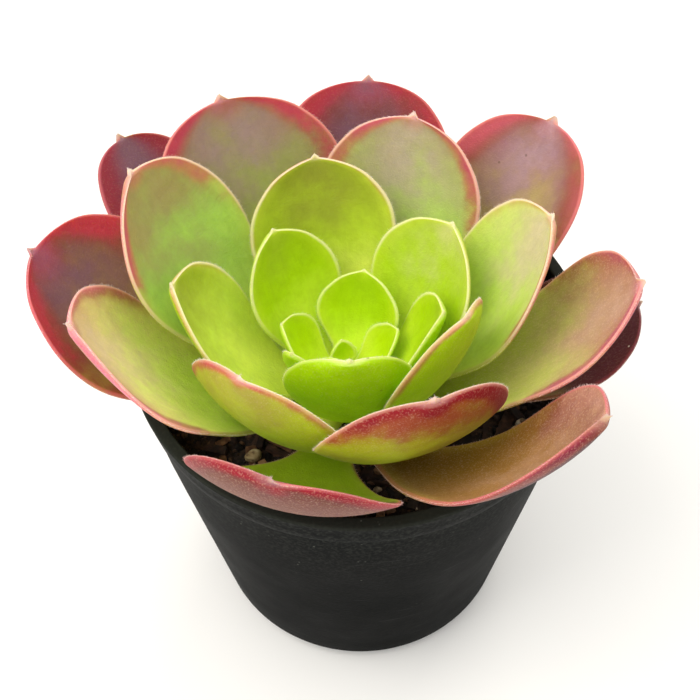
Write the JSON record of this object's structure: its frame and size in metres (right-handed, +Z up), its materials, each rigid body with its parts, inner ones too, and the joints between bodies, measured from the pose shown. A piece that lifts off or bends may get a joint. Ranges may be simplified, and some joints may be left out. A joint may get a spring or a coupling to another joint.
{
  "type": "potted aeonium",
  "caption": "Rosette of broad fleshy succulent leaves on a short stem, growing from potting mix in a round tapered plastic nursery pot.",
  "frame": {"origin": "centre of the pot's flat base, on the surface the pot stands on", "axes": "+Z up along the pot's axis, -Y towards the viewer of the reference picture, +X to that viewer's right"},
  "size_m": [0.1149, 0.111, 0.1186],
  "materials": {
    "pot_plastic": "satin black nursery plastic",
    "potting_mix": "dark peat with bark and grit",
    "stem_bark": "dull woody stem",
    "leaf_heart": "lime green fleshy leaf, downy",
    "leaf_middle": "olive green fleshy leaf with rose margins, downy",
    "leaf_outer": "wine red fleshy leaf with olive heel, downy"
  },
  "bodies": {
    "root": {"pot": "pot_plastic", "soil": "potting_mix", "stem": "stem_bark", "leaf_01": "leaf_heart", "leaf_02": "leaf_heart", "leaf_03": "leaf_heart", "leaf_04": "leaf_heart", "leaf_05": "leaf_heart", "leaf_06": "leaf_heart", "leaf_07": "leaf_heart", "leaf_08": "leaf_heart", "leaf_09": "leaf_heart", "leaf_10": "leaf_heart", "leaf_11": "leaf_heart", "leaf_12": "leaf_middle", "leaf_13": "leaf_middle", "leaf_14": "leaf_middle", "leaf_15": "leaf_middle", "leaf_16": "leaf_middle", "leaf_17": "leaf_middle", "leaf_18": "leaf_middle", "leaf_19": "leaf_middle", "leaf_20": "leaf_middle", "leaf_21": "leaf_middle", "leaf_22": "leaf_outer", "leaf_23": "leaf_outer", "leaf_24": "leaf_outer", "leaf_25": "leaf_outer", "leaf_26": "leaf_outer", "leaf_27": "leaf_outer", "leaf_29": "leaf_outer", "leaf_30": "leaf_outer"}
  },
  "joints": []
}
